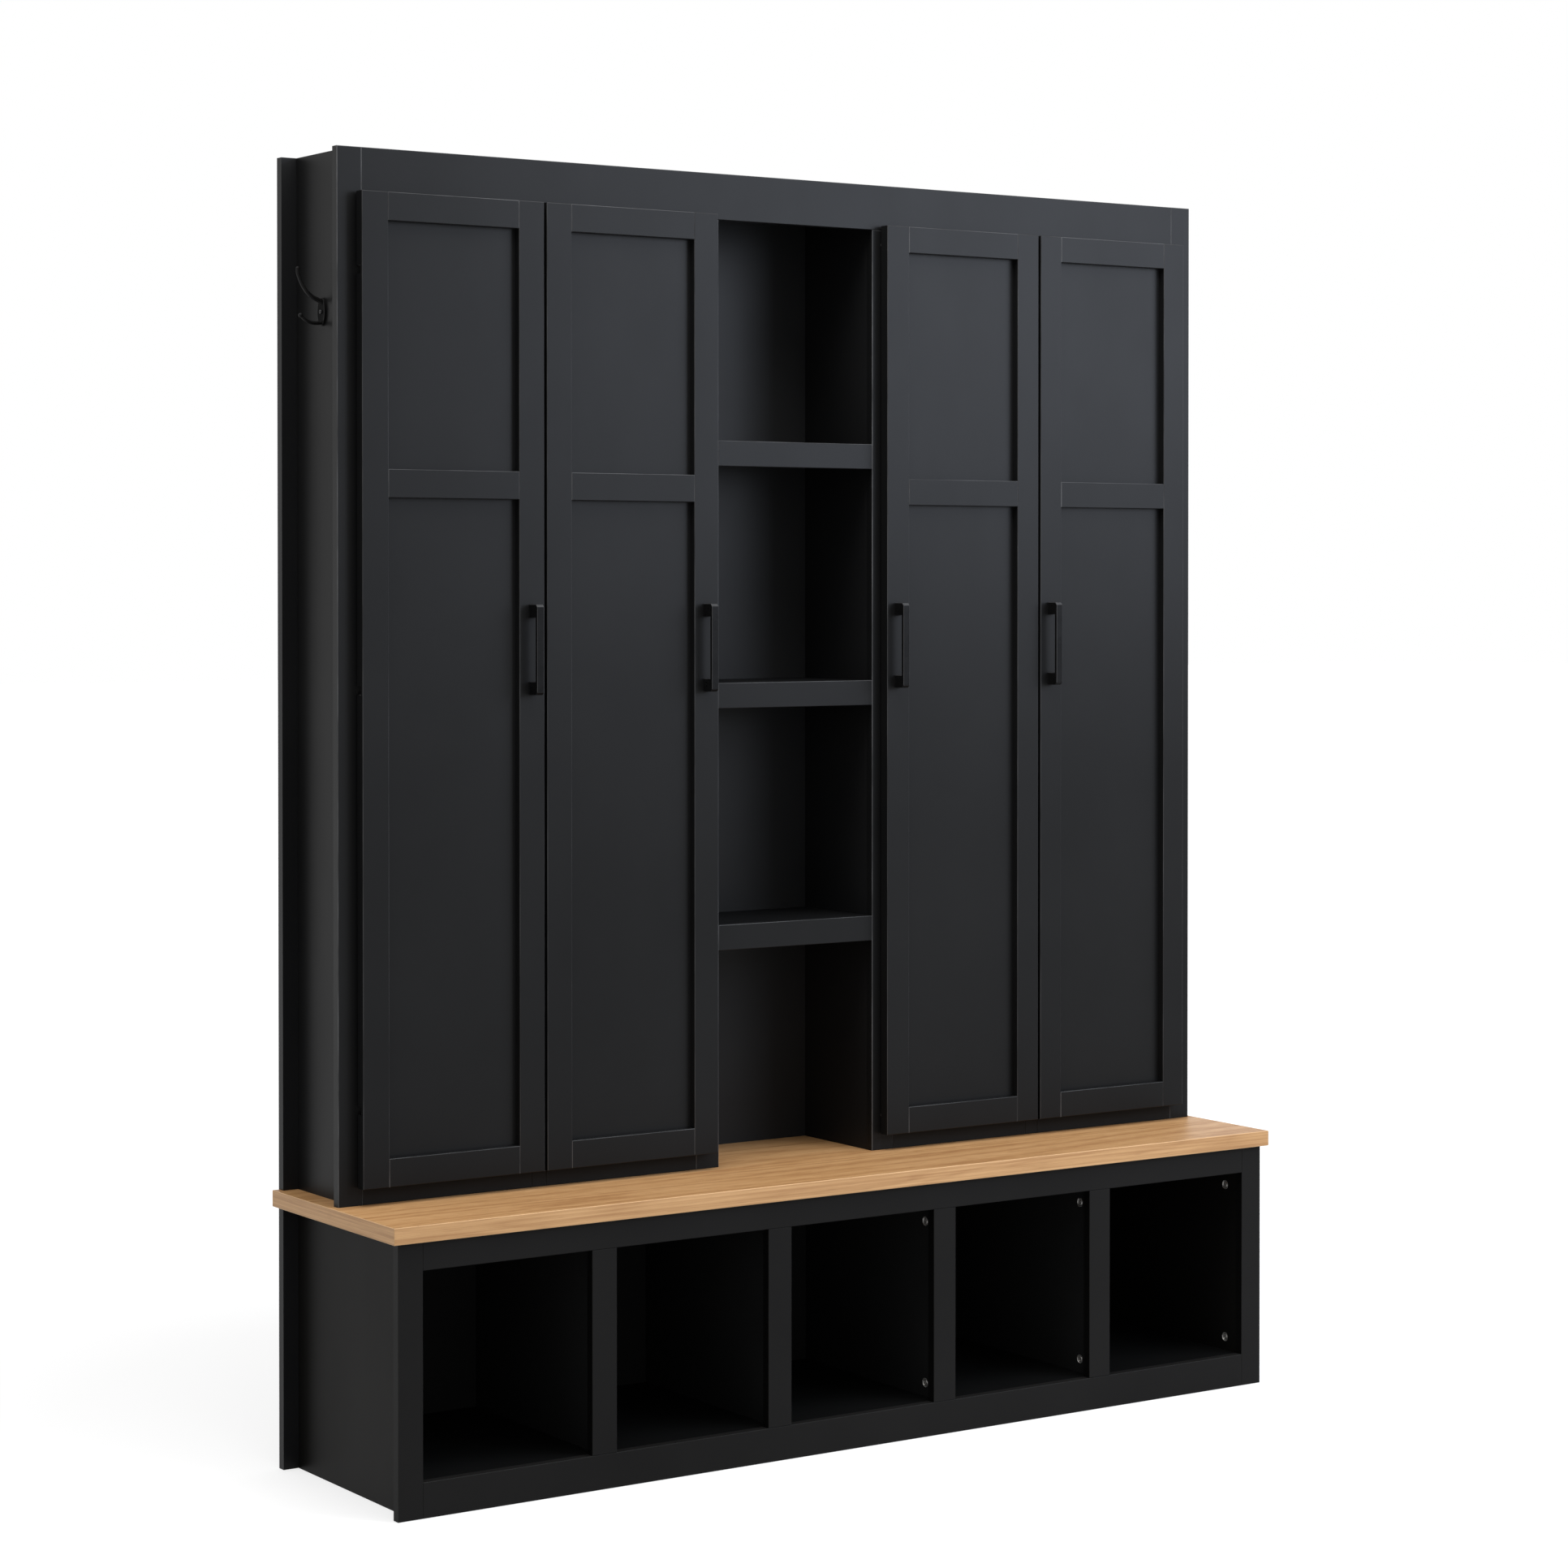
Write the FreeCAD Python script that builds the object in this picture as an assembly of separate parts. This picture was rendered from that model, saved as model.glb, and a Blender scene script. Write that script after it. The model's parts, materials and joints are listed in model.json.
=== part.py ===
import FreeCAD, Part
import math
import os

# Hall tree: an open bench with five cubbies carries a shallow hutch with four tall lockers
# and a column of open shelves. Millimetres, +Z up, the front faces -Y.
# The origin is on the floor, at the middle of the width and of the depth.

# Overall sizes
carcass_width = 1620.0
overall_height = 1980.0
seat_height = 423.0
bench_top_depth = 395.0
bench_top_thickness = 25.0
bench_top_side_overhang = 11.0
bench_top_front_overhang = 9.0
hutch_depth = 199.0

# Boards
board_thickness = 15.0
frame_thickness = 15.0
back_thickness = 5.0
back_inset = 1.0
eased_edge = 0.8
bench_top_eased_edge = 1.5
cut_margin = 1.0

# Face frames
outer_stile_width = 40.0
back_stile_width = 40.0
mullion_width = 42.0
middle_cubby_width = 269.5
bench_top_rail_height = 42.0
bench_bottom_rail_height = 52.0
centre_opening_width = 294.0
centre_stile_width = 42.0
mid_stile_width = 25.0
hutch_top_rail_height = 72.0
hutch_bottom_rail_height = 34.0
shelf_rail_height = 40.0
shelf_count = 3
top_bay_extra = 5.0

# Doors
door_thickness = 18.0
door_standoff = 3.5
door_outer_overlay = 10.0
door_centre_reveal = 15.0
door_pair_gap = 5.0
door_top_overlay = 6.5
door_bottom_overlay = 7.5
door_stile_width = 43.0
door_rail_height = 42.0
door_mid_rail_drop = 407.0
door_panel_thickness = 4.0
door_panel_recess = 12.0
door_groove_depth = 8.0
groove_end_clearance = 0.5
groove_side_clearance = 0.1
bumper_diameter = 7.0
bumper_clearance = 0.2
bumper_end_distance = 30.0

# Bar handles
handle_length = 136.5
handle_width = 12.0
handle_projection = 24.5
handle_bar_thickness = 6.0
handle_post_length = 20.0
handle_end_bevel = 4.0
handle_side_bevel = 1.2
handle_rise = 790.0
handle_edge_distance = 20.5
handle_screw_diameter = 4.0
handle_screw_depth = 10.0
handle_screw_head_diameter = 8.0
handle_screw_head_height = 2.2
screw_clearance = 0.2

# Concealed hinges, each with one pin inside the door's thickness
hinge_count = 3
hinge_end_distance = 115.0
hinge_pin_inset = 6.0
hinge_pin_depth = 7.5
hinge_pin_diameter = 3.0
hinge_pin_fit = 0.02
hinge_running_fit = 0.05
hinge_arm_height = 12.0
hinge_arm_thickness = 2.4
hinge_knuckle_radius = 3.0
hinge_ear_radius = 3.4
hinge_ear_thickness = 2.6
hinge_clearance = 0.4
hinge_cup_diameter = 26.0
hinge_cup_edge_distance = 5.0
hinge_cup_depth = 11.0
hinge_cup_wall = 1.0
hinge_cup_flange_height = 34.0
hinge_plate_thickness = 2.0
hinge_plate_height = 40.0
hinge_plate_depth = 13.0
hinge_plate_setback = 0.5
hinge_boss_depth = 8.0
hinge_screw_spacing = 28.0
hinge_screw_diameter = 3.0
hinge_screw_length = 14.0
hinge_screw_head_diameter = 6.0

# Lockers
locker_shelf_setback = 8.0
shelf_side_clearance = 0.5
shelf_pin_diameter = 5.0
shelf_pin_insertion = 7.0
shelf_pin_stand_out = 7.0
shelf_pin_edge_distance = 35.0
shelf_pin_clearance = 0.1
hook_rail_height = 80.0
hook_rail_drop = 70.0

# Coat hooks
hook_plate_width = 24.0
hook_plate_height = 42.0
hook_plate_thickness = 3.5
hook_plate_edge = 1.2
hook_upper_start = 14.5
hook_upper_reach = 41.5
hook_upper_rise = 63.0
hook_upper_bow = 10.3
hook_upper_root_radius = 3.8
hook_upper_tip_radius = 2.5
hook_lower_start = -16.0
hook_lower_reach = 36.5
hook_lower_rise = -6.6
hook_lower_bow = 5.3
hook_lower_radius = 2.8
hook_upper_ball_radius = 2.8
hook_lower_ball_radius = 3.8
hook_screw_diameter = 3.5
hook_screw_depth = 11.0
hook_screw_head_diameter = 6.6
hook_screw_head_height = 1.8
side_hook_drop = 236.5
side_hook_forward_shift = 3.5

# Cam locks of the bench boards
cam_diameter = 15.0
cam_depth = 12.0
cam_clearance = 0.1
cam_slot_width = 2.2
cam_slot_length = 10.0
cam_slot_depth = 3.0
cam_setback = 28.0
cam_top_distance = 68.0
cam_floor_distance = 22.0

# Pilot holes for the wall straps
strap_hole_diameter = 3.0
strap_hole_depth = 12.0
strap_hole_spacing = 900.0
strap_hole_edge_distance = 15.0

# Planes across the depth
back_y = bench_top_depth / 2
bench_top_front_y = -bench_top_depth / 2
bench_front_y = bench_top_front_y + bench_top_front_overhang
hutch_front_y = back_y - hutch_depth
back_panel_front_y = back_y - back_inset - back_thickness
bench_frame_back_y = bench_front_y + frame_thickness
hutch_frame_back_y = hutch_front_y + frame_thickness
back_stile_front_y = back_y - frame_thickness
door_back_y = hutch_front_y - door_standoff
door_front_y = door_back_y - door_thickness

# Planes across the width
outer_x = carcass_width / 2
inner_x = outer_x - outer_stile_width
side_outer_x = inner_x + board_thickness
centre_x = centre_opening_width / 2
centre_stile_outer_x = centre_x + centre_stile_width
centre_wall_outer_x = centre_x + board_thickness
door_outer_x = inner_x + door_outer_overlay
door_inner_x = centre_x + door_centre_reveal
door_width = (door_outer_x - door_inner_x - door_pair_gap) / 2
pair_middle_x = (door_outer_x + door_inner_x) / 2
mid_stile_inner_x = pair_middle_x - mid_stile_width / 2
mid_stile_outer_x = pair_middle_x + mid_stile_width / 2
divider_inner_x = pair_middle_x - board_thickness / 2
divider_outer_x = pair_middle_x + board_thickness / 2

# Heights
bench_carcass_height = seat_height - bench_top_thickness
bench_opening_top = bench_carcass_height - bench_top_rail_height
hutch_opening_top = overall_height - hutch_top_rail_height
hutch_top_underside = overall_height - board_thickness
locker_floor_top = seat_height + hutch_bottom_rail_height
side_hook_height = overall_height - side_hook_drop
cam_heights = (bench_bottom_rail_height + cam_floor_distance, bench_carcass_height - cam_top_distance)
bays_height = hutch_opening_top - seat_height - shelf_count * shelf_rail_height
bay_height = (bays_height - top_bay_extra) / (shelf_count + 1)
door_top = hutch_opening_top + door_top_overlay
door_bottom = locker_floor_top - door_bottom_overlay
handle_middle_height = door_bottom + handle_rise
mid_rail_top = door_top - door_mid_rail_drop
mid_rail_bottom = mid_rail_top - door_rail_height
locker_shelf_top = (mid_rail_top + mid_rail_bottom + board_thickness) / 2
locker_shelf_underside = locker_shelf_top - board_thickness
hook_rail_top = locker_shelf_underside - hook_rail_drop
hook_rail_bottom = hook_rail_top - hook_rail_height
hook_rail_front_y = back_panel_front_y - board_thickness
hinge_heights = []
for step in range(hinge_count):
    share = step / (hinge_count - 1)
    span = door_top - door_bottom - 2 * hinge_end_distance
    hinge_heights.append(door_bottom + hinge_end_distance + share * span)

# The two spans of a locker pair, given on the +X side
locker_spans = [(centre_wall_outer_x, divider_inner_x), (divider_outer_x, inner_x)]

# Each door: number, hinge edge, and the way it reaches from that edge
doors = [
    (1, -door_outer_x, 1),
    (2, -door_inner_x - door_width, 1),
    (3, door_inner_x + door_width, -1),
    (4, door_outer_x, -1),
]

os.makedirs("parts", exist_ok=True)


def vec(x, y, z):
    return FreeCAD.Vector(x, y, z)


def save(name, solids):
    shape = solids[0] if len(solids) == 1 else Part.makeCompound(solids)
    shape.exportStep("parts/" + name + ".step")


def box(x0, x1, y0, y1, z0, z1):
    low = vec(min(x0, x1), min(y0, y1), min(z0, z1))
    high = vec(max(x0, x1), max(y0, y1), max(z0, z1))
    size = high - low
    return Part.makeBox(size.x, size.y, size.z, low)


def rod(radius, start, end):
    line = end - start
    return Part.makeCylinder(radius, line.Length, start, line)


def eased(solid, size=eased_edge):
    # Takes the sharpness off the four edges of the front face
    front = solid.BoundBox.YMin
    edges = [e for e in solid.Edges if abs(e.BoundBox.YMax - front) < 1e-6]
    return solid.makeChamfer(size, edges)


def front_board(x0, x1, front, z0, z1):
    return eased(box(x0, x1, front, front + frame_thickness, z0, z1))


def both_sides(make):
    return [make(side) for side in (-1, 1)]


# Bench

def cubby_walls():
    # Middle of each mullion, from the left
    pitch = middle_cubby_width + mullion_width
    return [pitch * (i - 1.5) for i in range(4)]


def cam_places():
    # Boards that hold cams: each board's inner face and the way out of it
    faces = [(math.copysign(abs(x) - board_thickness / 2, x), -math.copysign(1, x)) for x in cubby_walls()]
    faces += [(-inner_x, 1), (inner_x, -1)]
    places = []
    for face, way in faces:
        for height in cam_heights:
            places.append((vec(face, bench_frame_back_y + cam_setback, height), vec(way, 0, 0)))
    return places


def cam_pockets():
    radius = cam_diameter / 2 + cam_clearance
    return [rod(radius, at, at - way * (cam_depth + cam_clearance)) for at, way in cam_places()]


def with_cam_pockets(solid):
    return solid.cut(Part.makeCompound(cam_pockets()))


def cam_lock(at, way):
    body = rod(cam_diameter / 2, at - way * cam_depth, at)
    half_length = cam_slot_length / 2
    half_width = cam_slot_width / 2
    floor = at - way * cam_slot_depth
    along = box(floor.x, at.x, at.y - half_length, at.y + half_length, at.z - half_width, at.z + half_width)
    across = box(floor.x, at.x, at.y - half_width, at.y + half_width, at.z - half_length, at.z + half_length)
    return body.cut(along.fuse(across))


def bench_side(side):
    panel = box(side * inner_x, side * side_outer_x, bench_frame_back_y, back_stile_front_y,
                0, bench_carcass_height)
    return with_cam_pockets(panel)


def bench_partition(x):
    half = board_thickness / 2
    panel = box(x - half, x + half, bench_frame_back_y, back_panel_front_y,
                bench_bottom_rail_height, bench_carcass_height)
    return with_cam_pockets(panel)


def bench_top():
    reach = outer_x + bench_top_side_overhang
    slab = box(-reach, reach, bench_top_front_y, back_y, bench_carcass_height, seat_height)
    outline = [e for e in slab.Edges if e.BoundBox.ZLength < 1e-6]
    return slab.makeChamfer(bench_top_eased_edge, outline)


def make_bench():
    save("bench_top", [bench_top()])
    save("bench_side_left", [bench_side(-1)])
    save("bench_side_right", [bench_side(1)])
    save("bench_partitions", [bench_partition(x) for x in cubby_walls()])
    save("bench_floor", [box(-inner_x, inner_x, bench_frame_back_y, back_panel_front_y,
                             bench_bottom_rail_height - board_thickness, bench_bottom_rail_height)])
    save("bench_back", [box(-inner_x, inner_x, back_panel_front_y, back_y - back_inset,
                            0, bench_carcass_height)])
    save("bench_stiles", both_sides(lambda side: front_board(
        side * inner_x, side * outer_x, bench_front_y, 0, bench_carcass_height)))
    save("bench_top_rail", [front_board(-inner_x, inner_x, bench_front_y,
                                        bench_opening_top, bench_carcass_height)])
    save("bench_bottom_rail", [front_board(-inner_x, inner_x, bench_front_y, 0, bench_bottom_rail_height)])
    half = mullion_width / 2
    save("bench_mullions", [front_board(x - half, x + half, bench_front_y,
                                        bench_bottom_rail_height, bench_opening_top) for x in cubby_walls()])
    save("cam_locks", [cam_lock(at, way) for at, way in cam_places()])


def make_back_stiles():
    stiles = []
    for side in (-1, 1):
        inner = side * (outer_x - back_stile_width)
        outer = side * outer_x
        stiles.append(box(inner, outer, back_stile_front_y, back_y, 0, bench_carcass_height))
        stiles.append(box(inner, outer, back_stile_front_y, back_y, seat_height, overall_height))
    save("back_stiles", stiles)


# Coat hooks, modelled on a wall that faces -Y with the plate's middle at the origin

def prong(start, reach, rise, bow, root_radius, tip_radius, ball_radius):
    # A tapered round bar along one arc, with a ball at its tip
    root = vec(0, -hook_plate_thickness / 2, start)
    tip = vec(0, -reach, rise)
    chord = tip - root
    sag = vec(0, chord.z, -chord.y)
    sag.normalize()
    low = -1 if sag.z > 0 else 1
    middle = (root + tip) * 0.5 + sag * (low * bow)
    arc = Part.Arc(root, middle, tip).toShape()
    first = Part.makeCircle(root_radius, root, arc.tangentAt(arc.FirstParameter))
    last = Part.makeCircle(tip_radius, tip, arc.tangentAt(arc.LastParameter))
    sweep = Part.BRepOffsetAPI.MakePipeShell(Part.Wire([arc]))
    sweep.add(Part.Wire([first]))
    sweep.add(Part.Wire([last]))
    sweep.build()
    sweep.makeSolid()
    return sweep.shape().fuse(Part.makeSphere(ball_radius, tip))


def coat_hook():
    rim = Part.Ellipse(vec(0, 0, hook_plate_height / 2), vec(hook_plate_width / 2, 0, 0), vec(0, 0, 0))
    plate = Part.Face(Part.Wire([rim.toShape()])).extrude(vec(0, -hook_plate_thickness, 0))
    edge = [e for e in plate.Edges if abs(e.BoundBox.YMax + hook_plate_thickness) < 1e-6]
    plate = plate.makeFillet(hook_plate_edge, edge)
    upper = prong(hook_upper_start, hook_upper_reach, hook_upper_rise, hook_upper_bow,
                  hook_upper_root_radius, hook_upper_tip_radius, hook_upper_ball_radius)
    lower = prong(hook_lower_start, hook_lower_reach, hook_lower_rise, hook_lower_bow,
                  hook_lower_radius, hook_lower_radius, hook_lower_ball_radius)
    hole = rod(hook_screw_diameter / 2 + screw_clearance, vec(0, 0, 0), vec(0, -2 * hook_plate_thickness, 0))
    reach = hook_plate_height
    wall = box(-reach, reach, 0, reach, -reach, reach)
    return plate.fuse(upper).fuse(lower).removeSplitter().cut(hole).cut(wall)


def hook_screw():
    seat = vec(0, -hook_plate_thickness, 0)
    crest = seat - vec(0, hook_screw_head_height, 0)
    head = rod(hook_screw_head_diameter / 2, seat, crest)
    crown = [e for e in head.Edges if abs(e.BoundBox.YMax - crest.y) < 1e-6]
    head = head.makeFillet(hook_screw_head_height / 2, crown)
    shank = rod(hook_screw_diameter / 2, vec(0, hook_screw_depth, 0), seat)
    return head.fuse(shank).removeSplitter()


def screw_hole():
    depth = hook_screw_depth + screw_clearance
    return rod(hook_screw_diameter / 2 + screw_clearance, vec(0, 0, 0), vec(0, depth, 0))


def turned(solid, angle, place):
    copy = solid.copy()
    copy.rotate(vec(0, 0, 0), vec(0, 0, 1), angle)
    copy.translate(place)
    return copy


def side_hook_places():
    # A little forward of the middle of the side panel
    hook_y = (hutch_frame_back_y + back_stile_front_y) / 2 - side_hook_forward_shift
    return [(-90, vec(-side_outer_x, hook_y, side_hook_height)),
            (90, vec(side_outer_x, hook_y, side_hook_height))]


def locker_hook_places():
    middle_z = (hook_rail_top + hook_rail_bottom) / 2
    middles = [side * (low + high) / 2 for low, high in locker_spans for side in (-1, 1)]
    return [(0, vec(x, hook_rail_front_y, middle_z)) for x in middles]


def make_hooks():
    hook = coat_hook()
    screw = hook_screw()
    save("side_hooks", [turned(hook, angle, place) for angle, place in side_hook_places()])
    save("locker_hooks", [turned(hook, angle, place) for angle, place in locker_hook_places()])
    places = side_hook_places() + locker_hook_places()
    save("hook_screws", [turned(screw, angle, place) for angle, place in places])


# Hutch carcass

def shelf_pin_places():
    # Each pin's seat on a locker wall and the way it stands out
    front = hutch_frame_back_y + locker_shelf_setback + shelf_pin_edge_distance
    back = back_panel_front_y - shelf_pin_edge_distance
    height = locker_shelf_underside - shelf_pin_diameter / 2
    places = []
    for side in (-1, 1):
        for low, high in locker_spans:
            for depth in (front, back):
                places.append((vec(side * low, depth, height), vec(side, 0, 0)))
                places.append((vec(side * high, depth, height), vec(-side, 0, 0)))
    return places


def with_pin_holes(solid):
    radius = shelf_pin_diameter / 2 + shelf_pin_clearance
    depth = shelf_pin_insertion + shelf_pin_clearance
    return solid.cut(Part.makeCompound([rod(radius, at, at - way * depth) for at, way in shelf_pin_places()]))


def hutch_side(side):
    panel = box(side * inner_x, side * side_outer_x, hutch_frame_back_y, back_stile_front_y,
                seat_height, overall_height)
    angle, place = side_hook_places()[(side + 1) // 2]
    return with_pin_holes(panel).cut(turned(screw_hole(), angle, place))


def upright(side, low, high):
    panel = box(side * low, side * high, hutch_frame_back_y, back_panel_front_y,
                seat_height, hutch_top_underside)
    return with_pin_holes(panel)


def hutch_top():
    panel = box(-inner_x, inner_x, hutch_frame_back_y, back_panel_front_y,
                hutch_top_underside, overall_height)
    hole_y = back_panel_front_y - strap_hole_edge_distance
    for side in (-1, 1):
        mouth = vec(side * strap_hole_spacing / 2, hole_y, overall_height)
        panel = panel.cut(rod(strap_hole_diameter / 2, mouth, mouth - vec(0, 0, strap_hole_depth)))
    return panel


def hook_rail(side, low, high):
    rail = box(side * low, side * high, hook_rail_front_y, back_panel_front_y,
               hook_rail_bottom, hook_rail_top)
    for angle, place in locker_hook_places():
        rail = rail.cut(turned(screw_hole(), angle, place))
    return rail


def in_lockers(make):
    return [make(side, low, high) for side in (-1, 1) for low, high in locker_spans]


def make_hutch_carcass():
    save("hutch_side_left", [hutch_side(-1)])
    save("hutch_side_right", [hutch_side(1)])
    save("hutch_top", [hutch_top()])
    save("hutch_back", [box(-inner_x, inner_x, back_panel_front_y, back_y - back_inset,
                            seat_height, overall_height)])
    save("centre_partitions", both_sides(lambda side: upright(side, centre_x, centre_wall_outer_x)))
    save("locker_dividers", both_sides(lambda side: upright(side, divider_inner_x, divider_outer_x)))
    save("locker_floors", in_lockers(lambda side, low, high: box(
        side * low, side * high, hutch_frame_back_y, back_panel_front_y,
        locker_floor_top - board_thickness, locker_floor_top)))
    save("locker_shelves", in_lockers(lambda side, low, high: box(
        side * (low + shelf_side_clearance), side * (high - shelf_side_clearance),
        hutch_frame_back_y + locker_shelf_setback, back_panel_front_y,
        locker_shelf_underside, locker_shelf_top)))
    save("locker_hook_rails", in_lockers(hook_rail))
    save("shelf_pins", [rod(shelf_pin_diameter / 2, at - way * shelf_pin_insertion,
                            at + way * shelf_pin_stand_out) for at, way in shelf_pin_places()])
    shelves = []
    rails = []
    for step in range(shelf_count):
        top = seat_height + (step + 1) * (bay_height + shelf_rail_height)
        rails.append(front_board(-centre_x, centre_x, hutch_front_y, top - shelf_rail_height, top))
        shelves.append(box(-centre_x, centre_x, hutch_frame_back_y, back_panel_front_y,
                           top - board_thickness, top))
    save("centre_shelves", shelves)
    save("shelf_rails", rails)


# Hutch face frame

def with_hinge_screw_holes(solid):
    radius = hinge_screw_diameter / 2 + hinge_running_fit
    for number, edge, way in doors:
        for height in hinge_heights:
            for start, end in hinge_screw_lines():
                hole = rod(radius, start, end + vec(-hinge_running_fit, 0, 0))
                solid = solid.cut(on_door(hole, edge, way, height))
    return solid


def bumper_places():
    # Pads on the frame behind the free corners of each door
    places = []
    for number, edge, way in doors:
        overlap = door_width - mid_stile_width / 2 + door_pair_gap / 2
        inset = door_width - (door_width - overlap) / 2
        for height in (door_bottom + bumper_end_distance, door_top - bumper_end_distance):
            places.append(vec(edge + way * inset, hutch_front_y, height))
    return places


def make_face_frame():
    save("hutch_stiles", both_sides(lambda side: with_hinge_screw_holes(front_board(
        side * inner_x, side * outer_x, hutch_front_y, seat_height, overall_height))))
    save("hutch_top_rail", [front_board(-inner_x, inner_x, hutch_front_y, hutch_opening_top, overall_height)])
    save("centre_stiles", both_sides(lambda side: front_board(
        side * centre_x, side * centre_stile_outer_x, hutch_front_y, seat_height, hutch_opening_top)))
    save("mid_stiles", both_sides(lambda side: with_hinge_screw_holes(front_board(
        side * mid_stile_inner_x, side * mid_stile_outer_x, hutch_front_y, seat_height, hutch_opening_top))))
    spans = [(centre_stile_outer_x, mid_stile_inner_x), (mid_stile_outer_x, inner_x)]
    save("hutch_bottom_rails", [front_board(side * low, side * high, hutch_front_y, seat_height,
                                            locker_floor_top) for side in (-1, 1) for low, high in spans])
    pad = door_standoff - bumper_clearance
    save("door_bumpers", [rod(bumper_diameter / 2, at, at - vec(0, pad, 0)) for at in bumper_places()])


# Hinges. Their own frame has the hinge edge at x = 0, the door's front face at y = 0,
# the door reaching to +X, and the middle of the hinge at z = 0.

hinge_axis_x = hinge_pin_inset
hinge_axis_y = hinge_pin_depth
frame_face_y = door_thickness + door_standoff
frame_edge_x = door_outer_overlay
arm_half = hinge_arm_height / 2
ear_inner_z = arm_half + hinge_clearance
ear_outer_z = ear_inner_z + hinge_ear_thickness
plate_outer_x = frame_edge_x + hinge_plate_thickness
plate_front_y = frame_face_y + hinge_plate_setback
boss_outer_x = plate_outer_x + hinge_arm_thickness
cup_middle_x = hinge_cup_edge_distance + hinge_cup_diameter / 2
cup_floor_y = door_thickness - hinge_cup_depth
window_x = boss_outer_x


def on_door(solid, edge, way, height):
    copy = solid.copy()
    if way < 0:
        copy = copy.mirror(vec(0, 0, 0), vec(1, 0, 0))
    copy.translate(vec(edge, door_front_y, height))
    return copy


def hinge_screw_lines():
    middle_y = plate_front_y + hinge_plate_depth / 2
    lines = []
    for side in (-1, 1):
        height = side * hinge_screw_spacing / 2
        head = vec(plate_outer_x, middle_y, height)
        lines.append((head, head - vec(hinge_screw_length, 0, 0)))
    return lines


def upright_rod(radius, z0, z1):
    return rod(radius, vec(hinge_axis_x, hinge_axis_y, z0), vec(hinge_axis_x, hinge_axis_y, z1))


def hinge_screw_head(start, extra):
    radius = hinge_screw_head_diameter / 2 + extra
    shank = hinge_screw_diameter / 2 + extra
    return Part.makeCone(radius, shank, hinge_plate_thickness, start, vec(-1, 0, 0))


def hinge_arm():
    # A plate on the frame's edge and a bar from it to the knuckle round the pin
    plate = box(frame_edge_x, plate_outer_x, plate_front_y, plate_front_y + hinge_plate_depth,
                -hinge_plate_height / 2, hinge_plate_height / 2)
    boss = box(plate_outer_x, boss_outer_x, plate_front_y, plate_front_y + hinge_boss_depth,
               -arm_half, arm_half)
    axis = vec(hinge_axis_x, hinge_axis_y, -arm_half)
    end = vec(plate_outer_x + hinge_arm_thickness / 2, plate_front_y + hinge_arm_thickness / 2, -arm_half)
    along = end - axis
    along.normalize()
    across = vec(-along.y, along.x, 0) * (hinge_arm_thickness / 2)
    corners = [axis + across, axis - across, end - across, end + across]
    bar = Part.Face(Part.makePolygon(corners + corners[:1])).extrude(vec(0, 0, hinge_arm_height))
    arm = plate.fuse(boss).fuse(bar).fuse(upright_rod(hinge_knuckle_radius, -arm_half, arm_half))
    arm = arm.removeSplitter().cut(upright_rod(hinge_pin_diameter / 2 + hinge_pin_fit, -arm_half, arm_half))
    for start, end in hinge_screw_lines():
        arm = arm.cut(hinge_screw_head(start, hinge_running_fit))
    return arm


def hinge_pin():
    return upright_rod(hinge_pin_diameter / 2, -ear_outer_z, ear_outer_z)


def hinge_screw(start, end):
    shank = rod(hinge_screw_diameter / 2, start, end)
    return shank.fuse(hinge_screw_head(start, 0)).removeSplitter()


def hinge_cup():
    # A round cup let into the door's back, with two ears that turn on the pin
    top_y = door_thickness + hinge_cup_wall
    outer = rod(hinge_cup_diameter / 2, vec(cup_middle_x, cup_floor_y, 0), vec(cup_middle_x, top_y, 0))
    half_flange = hinge_cup_flange_height / 2
    flange = box(hinge_axis_x - hinge_pin_diameter, cup_middle_x + hinge_cup_diameter / 2 + hinge_cup_wall,
                 door_thickness, top_y, -half_flange, half_flange)
    hollow = rod(hinge_cup_diameter / 2 - hinge_cup_wall, vec(cup_middle_x, cup_floor_y + hinge_cup_wall, 0),
                 vec(cup_middle_x, top_y, 0))
    cup = outer.fuse(flange).cut(hollow)
    for z0, z1 in ((-ear_outer_z, -ear_inner_z), (ear_inner_z, ear_outer_z)):
        web = box(hinge_axis_x, window_x, hinge_axis_y - hinge_pin_diameter / 2, top_y, z0, z1)
        cup = cup.fuse(web.fuse(upright_rod(hinge_ear_radius, z0, z1)))
    window = box(-cut_margin, window_x, 0, top_y + cut_margin, -ear_inner_z, ear_inner_z)
    cup = cup.removeSplitter().cut(window)
    return cup.cut(upright_rod(hinge_pin_diameter / 2 + hinge_running_fit, -ear_outer_z, ear_outer_z))


def hinge_recess():
    # Room in the door's stile for one cup, its ears and the swing of the arm
    behind = door_thickness + cut_margin
    bore_floor = vec(cup_middle_x, cup_floor_y - hinge_running_fit, 0)
    bore = rod(hinge_cup_diameter / 2 + hinge_running_fit, bore_floor, vec(cup_middle_x, behind, 0))
    half_pocket = ear_outer_z + hinge_clearance
    pocket = box(hinge_axis_x - hinge_ear_radius - hinge_clearance, window_x + hinge_clearance,
                 hinge_axis_y - hinge_ear_radius - hinge_clearance, behind, -half_pocket, half_pocket)
    lip = hinge_axis_y - hinge_arm_thickness / 2 - hinge_clearance
    notch = box(-cut_margin, hinge_axis_x, lip, behind, -ear_inner_z, ear_inner_z)
    return bore.fuse(pocket).fuse(notch)


def make_hinges():
    arm = hinge_arm()
    pin = hinge_pin()
    screws = [hinge_screw(start, end) for start, end in hinge_screw_lines()]
    places = [(edge, way, height) for number, edge, way in doors for height in hinge_heights]
    save("hinge_arms", [on_door(arm, *place) for place in places])
    save("hinge_pins", [on_door(pin, *place) for place in places])
    save("hinge_screws", [on_door(screw, *place) for place in places for screw in screws])


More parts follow.
